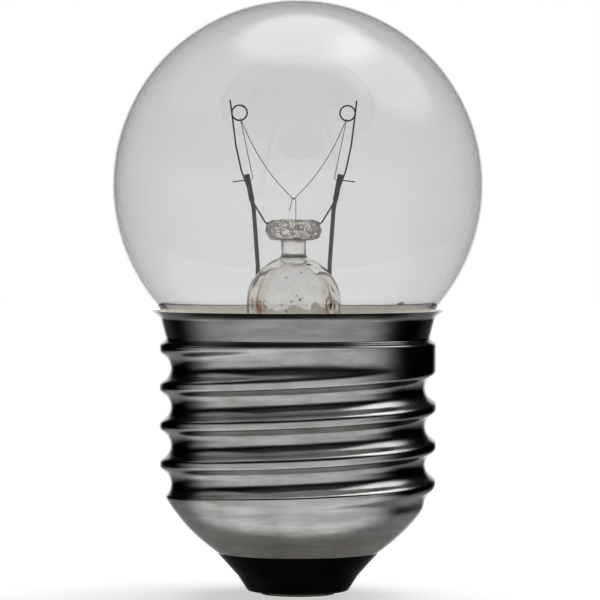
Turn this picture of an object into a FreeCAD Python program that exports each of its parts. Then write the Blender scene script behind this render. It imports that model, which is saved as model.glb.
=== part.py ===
import FreeCAD, Part
import Sketcher
import math
import os

# Clear globe lamp with a screw cap, cap down. Millimetres.
# The origin is on the axis, on the lowest face of the centre contact. +Z is up, -Y is the front.
# Every right-hand wire has a left-hand twin, turned half way round the stem.

SIZES = [
    # glass globe
    ("globe_diameter", 35.0),
    ("globe_wall", 0.5),
    ("turn_above_rim", 0.4),
    ("turn_over_collar", 0.255),
    ("neck_depth", 9.4),
    ("neck_gap", 0.79),
    # glass stem
    ("stem_offset", -0.4),
    ("stem_tube_diameter", 8.9),
    ("stem_wall", 0.75),
    ("dome_above_rim", 5.2),
    ("flare_curve", 4.4),
    ("arbor_diameter", 2.3),
    ("arbor_length", 1.45),
    ("button_diameter", 5.15),
    ("button_thickness", 1.95),
    ("button_rounding", 0.85),
    ("exhaust_diameter", 2.8),
    ("exhaust_bore", 1.6),
    ("exhaust_bend", 2.1),
    ("exhaust_rise", 1.9),
    ("exhaust_clear", 2.4),
    ("exhaust_tip_length", 2.4),
    # lead wires
    ("lead_diameter", 0.4),
    ("lead_inset", 1.05),
    ("lead_in_glass", 2.1),
    ("lead_knee_drop", 0.9),
    ("lead_waist_rise", 4.4),
    ("lead_waist_lean", 0.38),
    ("lead_top_rise", 7.7),
    ("lead_top_lean", 1.03),
    ("lead_bend", 2.0),
    ("clamp_width", 0.5),
    ("clamp_sheet", 0.18),
    ("clamp_length", 2.3),
    ("clamp_flap", 1.7),
    ("seal_diameter", 0.36),
    ("seal_reach", 3.15),
    ("seal_inset", 0.6),
    ("copper_diameter", 0.2),
    # support wires and filament
    ("support_diameter", 0.16),
    ("support_depth", 0.5),
    ("support_root", 1.4),
    ("support_hole_drop", 0.35),
    ("support_elbow_reach", 0.05),
    ("support_shin_lean", 1.23),
    ("support_shin_rise", 2.05),
    ("support_knee_lean", 2.33),
    ("support_knee_rise", 5.05),
    ("support_thigh_lean", 2.83),
    ("support_thigh_rise", 7.35),
    ("support_loop_lean", 3.2),
    ("support_loop_rise", 10.35),
    ("support_loop_radius", 0.72),
    ("support_tip", 1.3),
    ("hook_diameter", 0.11),
    ("hook_crook", 0.2),
    ("hook_root_depth", 1.2),
    ("hook_rise", 1.85),
    ("hook_tip_drop", 1.0),
    ("hook_tip_spread", 0.42),
    ("filament_diameter", 0.11),
    ("filament_near_share", 0.37),
    ("filament_far_share", 0.75),
    ("filament_sag", 0.92),
    ("filament_bend", 14.0),
    ("filament_tail", 1.45),
    # rolled cap
    ("cap_height", 27.0),
    ("shell_sheet", 0.25),
    ("lip_overhang", 0.725),
    ("lip_depth", 0.75),
    ("lip_curl", 1.3),
    ("collar_step", 0.12),
    ("groove_depth", 0.6),
    ("groove_drop", 2.6),
    ("step_drop", 3.25),
    ("thread_diameter", 26.2),
    ("thread_depth", 1.06),
    ("thread_pitch", 3.629),
    ("thread_bead_reach", 0.68),
    ("thread_bead_share", 0.62),
    ("thread_crest_height", 16.1),
    ("thread_end_drop", 3.8),
    ("thread_runout", 1.5),
    ("cone_edge_diameter", 15.5),
    ("cone_edge_height", 4.18),
    ("cone_slope", 1.34),
    ("cone_bow", 0.08),
    ("cone_rise", 4.3),
    ("cone_shoulder", 0.35),
    # foot of the cap
    ("foot_height", 0.5),
    ("foot_diameter", 9.5),
    ("foot_waist_diameter", 11.3),
    ("foot_waist_height", 1.87),
    ("insulator_rise", 2.42),
    ("insulator_dish", 1.0),
    ("eyelet_diameter", 7.0),
    ("eyelet_plate", 0.3),
    ("eyelet_bore", 2.0),
    ("eyelet_sheet", 0.35),
    ("eyelet_length", 3.0),
    ("solder_diameter", 4.4),
    ("solder_flat", 2.4),
    ("solder_plug_length", 1.4),
    ("lead_in_solder", 0.7),
    # cement and side joint
    ("cement_below", 0.8),
    ("cement_slot", 0.5),
    ("side_lead_angle", 40.0),
    ("side_solder_radius", 0.3),
    # fits
    ("glass_fit", 0.02),
    ("cap_fit", 0.05),
    ("loop_gap", 0.06),
    ("wire_gap", 0.02),
]

PLACES = [
    # rolled cap
    ("thread_radius", "Sizes.thread_diameter / 2"),
    ("thread_root", "thread_radius - Sizes.thread_depth"),
    ("thread_top", "Sizes.cap_height - Sizes.thread_end_drop"),
    ("collar_radius", "thread_radius - Sizes.collar_step"),
    ("lip_radius", "thread_radius + Sizes.lip_overhang"),
    ("lip_foot", "Sizes.cap_height - Sizes.lip_depth"),
    ("groove_radius", "thread_radius - Sizes.groove_depth"),
    ("groove_height", "Sizes.cap_height - Sizes.groove_drop"),
    ("step_height", "Sizes.cap_height - Sizes.step_drop"),
    ("cone_edge_radius", "Sizes.cone_edge_diameter / 2"),
    ("cone_sheet", "Sizes.shell_sheet * sqrt(1 + Sizes.cone_slope ^ 2)"),
    # globe and neck
    ("globe_radius", "Sizes.globe_diameter / 2"),
    ("globe_bore", "globe_radius - Sizes.globe_wall"),
    ("turn_height", "Sizes.cap_height + Sizes.turn_above_rim"),
    ("turn_radius", "collar_radius + Sizes.turn_over_collar"),
    ("turn_drop", "sqrt(globe_radius ^ 2 - turn_radius ^ 2)"),
    ("globe_centre", "turn_height + turn_drop"),
    ("globe_top", "globe_centre + globe_radius"),
    ("globe_roof", "globe_centre + globe_bore"),
    ("turn_bore", "turn_radius * globe_bore / globe_radius"),
    ("turn_bore_height", "globe_centre - turn_drop * globe_bore / globe_radius"),
    ("neck_radius", "thread_root - Sizes.shell_sheet - Sizes.neck_gap"),
    ("neck_bore", "neck_radius - Sizes.globe_wall"),
    ("neck_end", "Sizes.cap_height - Sizes.neck_depth"),
    ("neck_top", "turn_height - (turn_radius - neck_radius) * turn_radius / turn_drop"),
    ("neck_bore_top", "turn_bore_height - (turn_bore - neck_bore) * turn_radius / turn_drop"),
    # stem
    ("dome_height", "Sizes.cap_height + Sizes.dome_above_rim"),
    ("dome_radius", "Sizes.stem_tube_diameter / 2"),
    ("dome_bore", "dome_radius - Sizes.stem_wall"),
    ("dome_centre", "dome_height - dome_radius"),
    ("dome_roof", "dome_height - Sizes.stem_wall"),
    ("flare_start", "neck_end + Sizes.flare_curve"),
    ("flare_flat", "dome_radius + Sizes.flare_curve"),
    ("flare_under", "neck_end - Sizes.stem_wall"),
    ("flare_inner_curve", "Sizes.flare_curve + Sizes.stem_wall"),
    ("arbor_radius", "Sizes.arbor_diameter / 2"),
    ("arbor_seat", "dome_centre + sqrt(dome_radius ^ 2 - arbor_radius ^ 2)"),
    ("button_radius", "Sizes.button_diameter / 2"),
    ("button_face", "button_radius - Sizes.button_rounding"),
    ("button_bottom", "dome_height + Sizes.arbor_length"),
    ("button_top", "button_bottom + Sizes.button_thickness"),
    ("button_upper", "button_top - Sizes.button_rounding"),
    ("button_lower", "button_bottom + Sizes.button_rounding"),
    ("exhaust_radius", "Sizes.exhaust_diameter / 2"),
    ("exhaust_inside", "Sizes.exhaust_bore / 2"),
    ("exhaust_branch_height", "flare_start + Sizes.exhaust_rise"),
    ("exhaust_bend_start", "exhaust_branch_height - Sizes.exhaust_bend"),
    ("exhaust_tip_height", "insulator_top + Sizes.exhaust_clear"),
    ("exhaust_shoulder", "exhaust_tip_height + Sizes.exhaust_tip_length"),
    ("exhaust_tip_radius", "exhaust_inside / 2"),
    ("exhaust_reach", "dome_bore + Sizes.stem_wall / 2"),
    # wires
    ("lead_spread", "dome_radius - Sizes.lead_inset"),
    ("lead_foot_height", "dome_height - Sizes.lead_in_glass"),
    ("lead_knee_height", "dome_height - Sizes.lead_knee_drop"),
    ("lead_hole", "Sizes.lead_diameter / 2 + Sizes.glass_fit"),
    ("seal_end_height", "dome_centre - Sizes.seal_reach"),
    ("seal_end_spread", "dome_bore - Sizes.seal_inset"),
    ("support_hole", "Sizes.support_diameter / 2 + Sizes.glass_fit"),
    ("support_hole_height", "button_top - Sizes.support_hole_drop"),
    ("support_elbow_spread", "button_radius + Sizes.support_elbow_reach"),
    ("hook_hole", "Sizes.hook_diameter / 2 + Sizes.glass_fit"),
    ("hook_root", "button_top - Sizes.hook_root_depth"),
    ("hook_height", "button_top + Sizes.hook_rise"),
    ("hook_tip_height", "hook_height - Sizes.hook_tip_drop"),
    # foot of the cap
    ("insulator_step", "Sizes.cone_edge_height - Sizes.cap_fit"),
    ("insulator_top", "Sizes.cone_edge_height + Sizes.insulator_rise"),
    ("insulator_edge", "cone_edge_radius - Sizes.cone_slope * Sizes.cap_fit"),
    ("insulator_seat", "cone_edge_radius - cone_sheet - 2 * Sizes.cap_fit"),
    ("insulator_lean", "insulator_top - insulator_step"),
    ("insulator_brim",
     "insulator_seat + insulator_lean * Sizes.cone_slope - insulator_lean ^ 2 * Sizes.cone_bow"),
    ("insulator_well", "insulator_top - Sizes.insulator_dish"),
    ("foot_waist", "Sizes.foot_waist_diameter / 2"),
    ("foot_radius", "Sizes.foot_diameter / 2"),
    ("eyelet_inside", "Sizes.eyelet_bore / 2"),
    ("eyelet_tube", "eyelet_inside + Sizes.eyelet_sheet"),
    ("eyelet_radius", "Sizes.eyelet_diameter / 2"),
    ("eyelet_under", "Sizes.foot_height - Sizes.eyelet_plate"),
    ("eyelet_end", "eyelet_under + Sizes.eyelet_length"),
    ("insulator_bore", "eyelet_tube + Sizes.cap_fit"),
    ("solder_radius", "Sizes.solder_diameter / 2"),
    ("solder_flat_radius", "Sizes.solder_flat / 2"),
    ("solder_plug", "eyelet_inside - Sizes.wire_gap"),
    ("solder_top", "eyelet_under + Sizes.solder_plug_length"),
    ("copper_hole", "Sizes.copper_diameter / 2 + Sizes.wire_gap"),
    # cement and side joint
    ("lip_reach", "lip_radius - collar_radius"),
    ("cement_inside", "neck_radius + Sizes.cap_fit"),
    ("cement_outside", "thread_root - Sizes.shell_sheet - Sizes.cap_fit"),
    ("cement_bottom", "neck_end + Sizes.cement_below"),
    ("cement_collar", "groove_height + Sizes.cap_fit"),
    ("cement_lip_radius", "collar_radius - Sizes.shell_sheet - 2 * Sizes.cap_fit"),
    ("cement_flare_radius", "cement_lip_radius + lip_reach * 0.5 ^ Sizes.lip_curl"),
    ("cement_flare_height", "lip_foot + Sizes.lip_depth / 2"),
    ("cement_top_radius", "cement_lip_radius + lip_reach * 0.75 ^ Sizes.lip_curl"),
    ("cement_top", "lip_foot + Sizes.lip_depth * 0.75"),
    ("cement_cone", "cement_inside + (cement_top - neck_top) * turn_drop / turn_radius"),
    ("side_joint", "lip_radius - Sizes.shell_sheet / 2"),
]

doc = FreeCAD.newDocument("GlobeBulb")


def make_sheet(name, rows):
    sheet = doc.addObject("Spreadsheet::Sheet", name)
    for number, (alias, content) in enumerate(rows, start=1):
        sheet.set("A%d" % number, alias)
        sheet.set("B%d" % number, content)
        sheet.setAlias("B%d" % number, alias)
    doc.recompute()
    return sheet


sizes_sheet = make_sheet("Sizes", [(alias, str(value)) for alias, value in SIZES])
places_sheet = make_sheet("Places", [(alias, "=" + formula) for alias, formula in PLACES])
driving = [alias for alias, value in SIZES]


def ref(alias):
    """The expression that reads a named value."""
    return ("Sizes." if alias in driving else "Places.") + alias


def val(alias):
    """A named value as a number."""
    sheet = sizes_sheet if alias in driving else places_sheet
    return float(getattr(sheet, alias))


def point(x, y, z):
    return FreeCAD.Vector(x, y, z)


# Helpers for turned pieces


def new_body(label):
    body = doc.addObject("PartDesign::Body", label)
    body.Label = label
    return body


def origin_part(body, role):
    return next(part for part in body.Origin.OriginFeatures if part.Role == role)


def new_sketch(body, name, plane, lift=None):
    """A sketch on one of the body's own planes, lifted along its normal by a named value."""
    sketch = body.newObject("Sketcher::SketchObject", name)
    sketch.AttachmentSupport = (origin_part(body, plane), [""])
    sketch.MapMode = "FlatFace"
    if lift:
        sketch.setExpression("AttachmentOffset.Base.z", ref(lift))
    return sketch


def pin_point(sketch, edge, end, x, y):
    """Ties a point of the sketch to two named values. None is zero."""
    if x:
        row = sketch.addConstraint(Sketcher.Constraint("DistanceX", -1, 1, edge, end, val(x)))
        sketch.setExpression("Constraints[%d]" % row, ref(x))
    else:
        sketch.addConstraint(Sketcher.Constraint("PointOnObject", edge, end, -2))
    if y:
        row = sketch.addConstraint(Sketcher.Constraint("DistanceY", -1, 1, edge, end, val(y)))
        sketch.setExpression("Constraints[%d]" % row, ref(y))
    else:
        sketch.addConstraint(Sketcher.Constraint("PointOnObject", edge, end, -1))


def add_circle(sketch, x, y, radius):
    place = point(val(x) if x else 0, val(y) if y else 0, 0)
    edge = sketch.addGeometry(Part.Circle(place, point(0, 0, 1), val(radius)), False)
    if x or y:
        pin_point(sketch, edge, 3, x, y)
    else:
        sketch.addConstraint(Sketcher.Constraint("Coincident", edge, 3, -1, 1))
    row = sketch.addConstraint(Sketcher.Constraint("Radius", edge, val(radius)))
    sketch.setExpression("Constraints[%d]" % row, ref(radius))


def arc_between(start, end, radius, side):
    """The shorter arc between two points. Side 1 has its centre on the left of the way, -1 on the right."""
    way = end - start
    half = way.Length / 2
    across = point(-way.y, way.x, 0).normalize() * side
    centre = (start + end) / 2 + across * math.sqrt(max(radius * radius - half * half, 0))
    first = math.atan2(start.y - centre.y, start.x - centre.x)
    last = math.atan2(end.y - centre.y, end.x - centre.x)
    if side < 0:
        first, last = last, first
    return Part.ArcOfCircle(Part.Circle(centre, point(0, 0, 1), radius), first, last)


def add_outline(sketch, corners, closed=True):
    """Straight lines and arcs through named corners: (x, y), or (x, y, radius, side) where an arc follows."""
    places = [point(val(c[0]) if c[0] else 0, val(c[1]) if c[1] else 0, 0) for c in corners]
    count = len(corners) if closed else len(corners) - 1
    starts = []
    ends = []
    for number in range(count):
        corner = corners[number]
        here = places[number]
        there = places[(number + 1) % len(places)]
        if len(corner) == 4:
            edge = sketch.addGeometry(arc_between(here, there, val(corner[2]), corner[3]), False)
            row = sketch.addConstraint(Sketcher.Constraint("Radius", edge, val(corner[2])))
            sketch.setExpression("Constraints[%d]" % row, ref(corner[2]))
            first_end = 1 if corner[3] > 0 else 2
        else:
            edge = sketch.addGeometry(Part.LineSegment(here, there), False)
            first_end = 1
        starts.append((edge, first_end))
        ends.append((edge, 3 - first_end))
    for number in range(count):
        pin_point(sketch, starts[number][0], starts[number][1], corners[number][0], corners[number][1])
        following = (number + 1) % count
        if closed or following:
            sketch.addConstraint(Sketcher.Constraint("Coincident", *ends[number], *starts[following]))
    if not closed:
        pin_point(sketch, ends[-1][0], ends[-1][1], corners[-1][0], corners[-1][1])


def turned(label, corners):
    """A body turned about the vertical axis from an outline in the XZ plane."""
    body = new_body(label)
    sketch = new_sketch(body, label + "_section", "XZ_Plane")
    add_outline(sketch, corners)
    turn = body.newObject("PartDesign::Revolution", label + "_turn")
    turn.Profile = sketch
    turn.ReferenceAxis = (sketch, ["V_Axis"])
    turn.Angle = 360
    doc.recompute()
    return body


def drill(body, sketch, reverse, length=None):
    """Cuts the sketch out of the body, right through or to a named depth."""
    before = body.Shape.Volume
    pocket = body.newObject("PartDesign::Pocket", sketch.Name + "_cut")
    pocket.Profile = sketch
    pocket.Reversed = reverse
    if length:
        pocket.Type = 0
        pocket.setExpression("Length", ref(length))
    else:
        pocket.Type = 1
    doc.recompute()
    if body.Shape.Volume >= before:
        raise RuntimeError(pocket.Name + " cuts nothing")
    return pocket


def stand_on_stem(body):
    body.setExpression("Placement.Base.x", ref("stem_offset"))


# Helpers for wires


def rounded_path(points, bends):
    """Straight runs through the points, with an arc of its own radius at each inner point."""
    edges = []
    here = points[0]
    for before, corner, after, bend in zip(points, points[1:], points[2:], bends):
        back = (before - corner).normalize()
        ahead = (after - corner).normalize()
        half_turn = (math.pi - back.getAngle(ahead)) / 2
        reach = bend * math.tan(half_turn)
        middle = corner + (back + ahead).normalize() * (bend / math.cos(half_turn) - bend)
        edges.append(Part.LineSegment(here, corner + back * reach).toShape())
        edges.append(Part.Arc(corner + back * reach, middle, corner + ahead * reach).toShape())
        here = corner + ahead * reach
    edges.append(Part.LineSegment(here, points[-1]).toShape())
    return edges


def swept(label, edges, section):
    """A solid swept along a path from a section that stands at its start."""
    path = doc.addObject("Part::Feature", label + "_path")
    path.Shape = Part.Wire(edges)
    sweep = doc.addObject("Part::Sweep", label)
    sweep.Label = label
    sweep.Sections = [section]
    sweep.Spine = (path, ["Edge%d" % number for number in range(1, len(path.Shape.Edges) + 1)])
    sweep.Solid = True
    sweep.Frenet = False
    return sweep


def round_wire(label, edges, diameter):
    section = doc.addObject("Part::Circle", label + "_section")
    section.setExpression("Radius", ref(diameter) + " / 2")
    start = edges[0].valueAt(edges[0].FirstParameter)
    along = edges[0].tangentAt(edges[0].FirstParameter)
    section.Placement = FreeCAD.Placement(start, FreeCAD.Rotation(point(0, 0, 1), along))
    return swept(label, edges, section)


def on_stem(side, x, y, z):
    """A place beside the stem: side 1 is right, and side -1 is turned half way round the stem."""
    return point(val("stem_offset") + side * x, side * y, z)


SIDES = [("right", 1), ("left", -1)]


# Glass


def make_glass_bulb():
    return turned("glass_bulb", [
        (None, "globe_roof"),
        (None, "globe_top", "globe_radius", -1),
        ("turn_radius", "turn_height"),
        ("neck_radius", "neck_top"),
        ("neck_radius", "neck_end"),
        ("neck_bore", "neck_end"),
        ("neck_bore", "neck_bore_top"),
        ("turn_bore", "turn_bore_height", "globe_bore", 1),
    ])


def make_stem_flare():
    body = turned("stem_flare", [
        (None, "dome_roof"),
        (None, "dome_height", "dome_radius", -1),
        ("dome_radius", "dome_centre"),
        ("dome_radius", "flare_start", "flare_curve", 1),
        ("flare_flat", "neck_end"),
        ("neck_radius", "neck_end"),
        ("neck_radius", "flare_under"),
        ("flare_flat", "flare_under", "flare_inner_curve", -1),
        ("dome_bore", "flare_start"),
        ("dome_bore", "dome_centre", "dome_bore", 1),
    ])
    lead_holes = new_sketch(body, "lead_hole", "XY_Plane")
    add_circle(lead_holes, "lead_spread", None, "lead_hole")
    first_hole = drill(body, lead_holes, True)
    both_holes = body.newObject("PartDesign::PolarPattern", "lead_holes")
    both_holes.Originals = [first_hole]
    both_holes.Axis = (origin_part(body, "Z_Axis"), [""])
    both_holes.Occurrences = len(SIDES)
    body.Tip = both_holes
    doc.recompute()
    exhaust_hole = new_sketch(body, "exhaust_hole", "XZ_Plane")
    add_circle(exhaust_hole, None, "exhaust_branch_height", "exhaust_inside")
    drill(body, exhaust_hole, False)
    stand_on_stem(body)
    return body


def make_arbor_button():
    body = turned("arbor_button", [
        (None, "button_top"),
        ("button_face", "button_top", "button_rounding", -1),
        ("button_radius", "button_upper"),
        ("button_radius", "button_lower", "button_rounding", -1),
        ("button_face", "button_bottom"),
        ("arbor_radius", "button_bottom"),
        ("arbor_radius", "arbor_seat", "dome_radius", 1),
        (None, "dome_height"),
    ])
    support_hole = new_sketch(body, "support_hole", "YZ_Plane", "support_root")
    add_circle(support_hole, "support_depth", "support_hole_height", "support_hole")
    first_hole = drill(body, support_hole, True)
    both_holes = body.newObject("PartDesign::PolarPattern", "support_holes")
    both_holes.Originals = [first_hole]
    both_holes.Axis = (origin_part(body, "Z_Axis"), [""])
    both_holes.Occurrences = len(SIDES)
    body.Tip = both_holes
    doc.recompute()
    hook_hole = new_sketch(body, "hook_hole", "XY_Plane", "hook_root")
    add_circle(hook_hole, "hook_crook", None, "hook_hole")
    drill(body, hook_hole, True)
    stand_on_stem(body)
    return body


def make_exhaust_tube():
    """A sealed-off tube that rises inside the stem and opens through its rear wall."""
    body = turned("exhaust_tube", [
        (None, "exhaust_tip_height"),
        ("exhaust_tip_radius", "exhaust_tip_height"),
        ("exhaust_radius", "exhaust_shoulder"),
        ("exhaust_radius", "exhaust_bend_start"),
        ("exhaust_inside", "exhaust_bend_start"),
        ("exhaust_inside", "exhaust_shoulder"),
        (None, "exhaust_shoulder"),
    ])
    route = new_sketch(body, "exhaust_route", "YZ_Plane")
    add_outline(route, [
        (None, "exhaust_bend_start", "exhaust_bend", -1),
        ("exhaust_bend", "exhaust_branch_height"),
        ("exhaust_reach", "exhaust_branch_height"),
    ], closed=False)
    ring = new_sketch(body, "exhaust_ring", "XY_Plane", "exhaust_bend_start")
    add_circle(ring, None, None, "exhaust_radius")
    add_circle(ring, None, None, "exhaust_inside")
    doc.recompute()
    branch = body.newObject("PartDesign::AdditivePipe", "exhaust_branch")
    branch.Profile = ring
    branch.Spine = (route, ["Edge1", "Edge2"])
    doc.recompute()
    trim = new_sketch(body, "exhaust_trim", "XY_Plane", "exhaust_bend_start")
    add_circle(trim, None, None, "dome_bore")
    add_circle(trim, None, None, "flare_flat")
    drill(body, trim, True)
    stand_on_stem(body)
    return body


# Lead wires


def lead_points(side):
    """The corners of an inner lead, from the dome up to the fold."""
    spread = val("lead_spread")
    dome = val("dome_height")
    return [
        on_stem(side, spread, 0, val("lead_foot_height")),
        on_stem(side, spread, 0, val("lead_knee_height")),
        on_stem(side, spread + val("lead_waist_lean"), 0, dome + val("lead_waist_rise")),
        on_stem(side, spread + val("lead_top_lean"), 0, dome + val("lead_top_rise")),
    ]


def clamp_frame(side):
    """The lead's way up, the centre of its fold, and how far each layer's middle lies from it."""
    waist, top = lead_points(side)[2:]
    rise = (top - waist).normalize()
    apart = val("filament_diameter") / 2 + val("wire_gap") + val("clamp_sheet") / 2
    fold = top - rise * (apart + val("clamp_sheet") / 2)
    return rise, fold, apart


def make_clamp(name, side):
    """The flattened end of a lead, folded back over the filament."""
    rise, fold, apart = clamp_frame(side)
    depth = point(0, side * apart, 0)
    start = fold + depth - rise * val("clamp_length")
    edges = [
        Part.LineSegment(start, fold + depth).toShape(),
        Part.Arc(fold + depth, fold + rise * apart, fold - depth).toShape(),
        Part.LineSegment(fold - depth, fold - depth - rise * val("clamp_flap")).toShape(),
    ]
    half_width = rise.cross(point(0, 1, 0)).normalize() * (val("clamp_width") / 2)
    half_sheet = point(0, val("clamp_sheet") / 2, 0)
    corners = [start + half_width + half_sheet, start - half_width + half_sheet,
               start - half_width - half_sheet, start + half_width - half_sheet]
    section = doc.addObject("Part::Feature", "clamp_section_" + name)
    section.Shape = Part.makePolygon(corners + corners[:1])
    return swept("clamp_" + name, edges, section)


def make_inner_lead(name, side):
    """A round wire with a clamp at its top."""
    rise, fold, apart = clamp_frame(side)
    round_top = fold - rise * (val("clamp_length") - val("lead_diameter"))
    route = lead_points(side)[:3] + [round_top]
    lead = doc.addObject("Part::Fuse", "inner_lead_" + name)
    lead.Label = "inner_lead_" + name
    path = rounded_path(route, [val("lead_bend")] * 2)
    lead.Base = round_wire("inner_lead_wire_" + name, path, "lead_diameter")
    lead.Tool = make_clamp(name, side)
    return lead


def seal_route(side):
    """From the foot of the inner lead, straight down through the glass and on inside the stem."""
    foot = on_stem(side, val("lead_spread"), 0, val("lead_foot_height"))
    under = on_stem(side, val("lead_spread"), 0, val("dome_centre"))
    straight = on_stem(side, val("seal_end_spread"), 0, val("seal_end_height") + val("lead_bend") / 2)
    end = on_stem(side, val("seal_end_spread"), 0, val("seal_end_height"))
    return [foot, under, straight, end]


def make_seal_wire(name, side):
    path = rounded_path(seal_route(side), [val("lead_bend")] * 2)
    return round_wire("seal_wire_" + name, path, "seal_diameter")


def make_outer_lead_left():
    """From the left seal wire down past the exhaust tube and through the eyelet."""
    start = seal_route(-1)[-1]
    beside_tip = on_stem(-1, val("seal_end_spread"), 0, val("exhaust_shoulder"))
    over_eyelet = point(0, 0, val("insulator_top"))
    end = point(0, 0, val("lead_in_solder"))
    path = rounded_path([start, beside_tip, over_eyelet, end], [val("exhaust_bend")] * 2)
    return round_wire("outer_lead_left", path, "copper_diameter")


def at_side_lead(radius, height):
    """A place in the upright plane of the side lead."""
    angle = math.radians(val("side_lead_angle"))
    return point(radius * math.cos(angle), radius * math.sin(angle), height)


def make_outer_lead_right():
    """From the right seal wire out under the flare, up along the glass and over the rim of the cap."""
    gap_middle = (val("cement_inside") + val("cement_outside")) / 2
    slope = val("turn_drop") / val("turn_radius")
    off_glass = (val("copper_diameter") / 2 + val("wire_gap")) * math.hypot(1, slope)
    beside_cone = val("turn_radius") + off_glass
    over_rim = val("cap_height") + val("copper_diameter") / 2 + val("wire_gap")
    route = [
        seal_route(1)[-1],
        on_stem(1, val("seal_end_spread"), 0, val("flare_under") - val("exhaust_bend")),
        at_side_lead(gap_middle, val("flare_under") - val("copper_diameter") * 4),
        at_side_lead(gap_middle, val("turn_height") - (beside_cone - gap_middle) / slope),
        at_side_lead(beside_cone - (val("turn_height") - over_rim) * slope, over_rim),
        at_side_lead(val("side_joint") + val("copper_diameter"), over_rim),
    ]
    tight = val("copper_diameter")
    path = rounded_path(route, [val("exhaust_bend"), tight * 2, tight * 2, tight])
    return round_wire("outer_lead_right", path, "copper_diameter")


# Support wires and filament


def support_point(side, joint):
    """A named joint of a support wire, from the elbow beside the button upwards."""
    spread = val("support_elbow_spread") + val("support_%s_lean" % joint)
    height = val("support_hole_height") + val("support_%s_rise" % joint)
    return on_stem(side, spread, val("support_depth"), height)


def loop_frame(side):
    """The point where the pigtail loop starts, its centre, and the wire's way up there."""
    start = support_point(side, "loop")
    rise = (start - support_point(side, "thigh")).normalize()
    inward = point(0, side, 0).cross(rise) * -1
    return start, start + inward * val("support_loop_radius"), rise


def loop_point(side, turn):
    """A point on the pigtail loop, whose end lies one wire behind its start."""
    start, centre, rise = loop_frame(side)
    angle = 2 * math.pi * turn
    back = (val("support_diameter") + val("loop_gap")) * (turn - math.sin(angle) / (2 * math.pi))
    ring = (start - centre) * math.cos(angle) + rise * (val("support_loop_radius") * math.sin(angle))
    return centre + ring + point(0, side * back, 0)


def make_support_wire(name, side):
    depth = val("support_depth")
    start, centre, rise = loop_frame(side)
    route = [
        on_stem(side, val("support_root"), depth, val("support_hole_height")),
        on_stem(side, val("support_elbow_spread"), depth, val("support_hole_height")),
        support_point(side, "shin"),
        support_point(side, "knee"),
        support_point(side, "thigh"),
        start,
    ]
    bends = [val("support_loop_radius") / 2] + [val("support_loop_radius") * 4] * 3
    edges = rounded_path(route, bends)
    pieces = 8
    for number in range(pieces):
        stops = [loop_point(side, (number + share) / pieces) for share in (0, 0.5, 1)]
        edges.append(Part.Arc(*stops).toShape())
    end = loop_point(side, 1)
    edges.append(Part.LineSegment(end, end + rise * val("support_tip")).toShape())
    return round_wire("support_wire_" + name, edges, "support_diameter")


def make_centre_hook():
    crook = val("hook_crook")
    root = on_stem(1, crook, 0, val("hook_root"))
    rise = on_stem(1, crook, 0, val("hook_height"))
    crown = on_stem(1, 0, 0, val("hook_height") + crook)
    fall = on_stem(1, -crook, 0, val("hook_height"))
    tip = on_stem(1, -val("hook_tip_spread"), 0, val("hook_tip_height"))
    knee = on_stem(1, -crook, 0, val("hook_height") - crook)
    edges = [Part.LineSegment(root, rise).toShape(), Part.Arc(rise, crown, fall).toShape()]
    edges += rounded_path([fall, knee, tip], [crook])
    return round_wire("centre_hook", edges, "hook_diameter")


def filament_half(side):
    """Corners and bends from under the hook, over the pigtail loop and through the clamp to the tail."""
    seat = (val("support_diameter") + val("filament_diameter")) / 2 + val("wire_gap")
    hook_seat = (val("hook_diameter") + val("filament_diameter")) / 2 + val("wire_gap")
    stand_off = seat + val("wire_gap")
    under_hook = val("hook_height") + val("hook_crook") - hook_seat
    rest = loop_point(1, 0.75)
    rest_x = rest.x - val("stem_offset")
    rest_top = rest.z + seat
    rise, fold, apart = clamp_frame(1)
    hold = fold - rise * (val("clamp_width") / 2)
    hold_x = hold.x - val("stem_offset")
    middle_depth = (rest.y + stand_off) / 2
    near = val("filament_near_share")
    far = val("filament_far_share")
    climb = rest_top - under_hook
    slack = under_hook - val("filament_sag")
    corners = [
        (0, stand_off, under_hook, hook_seat),
        (rest_x * near, middle_depth, slack + climb * near, val("filament_bend")),
        (rest_x * far, middle_depth, slack + climb * far, val("filament_bend")),
        (rest_x, rest.y + stand_off, rest_top, seat),
        (rest_x, rest.y - stand_off, rest_top, seat),
        (hold_x - val("clamp_width"), 0, hold.z, val("clamp_width") / 3),
        (hold_x + val("filament_tail"), 0, hold.z, None),
    ]
    return [(on_stem(side, x, y, z), bend) for x, y, z, bend in corners]


def make_filament():
    right = filament_half(1)
    left = filament_half(-1)
    corners = left[::-1] + right
    bends = [bend for place, bend in corners[1:-1]]
    path = rounded_path([place for place, bend in corners], bends)
    return round_wire("filament", path, "filament_diameter")


# Cap


def ease(share):
    """Rises smoothly from 0 to 1."""
    share = min(max(share, 0), 1)
    return share * share * (3 - 2 * share)


def rolled_thread(angle, height):
    """The rolled thread: round beads on a broad swell, and a groove that runs out at its upper end."""
    pitch = val("thread_pitch")
    around = (angle - math.pi) / (2 * math.pi)
    turns = (height - val("thread_crest_height")) / pitch - around
    swell = math.cos(math.pi * turns) ** 2
    off_crest = (turns - round(turns)) * pitch
    bead = 1 / (1 + (off_crest / val("thread_bead_reach")) ** 4)
    ridge = swell + (bead - swell) * val("thread_bead_share")
    groove_middle = val("thread_crest_height") + (math.floor(turns) + 0.5 + around) * pitch
    runout = ease((groove_middle - val("thread_top")) / val("thread_runout") + 1)
    return val("thread_radius") - val("thread_depth") * (1 - ridge) * (1 - runout)


def cone_radius(height):
    """The bowed cone under the thread, straight where it is past its height."""
    rise = height - val("cone_edge_height")
    bowed = min(rise, val("cone_rise"))
    end_slope = val("cone_slope") - 2 * val("cone_bow") * bowed
    start = val("cone_edge_radius") + bowed * val("cone_slope") - bowed * bowed * val("cone_bow")
    return start + (rise - bowed) * end_slope


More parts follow.
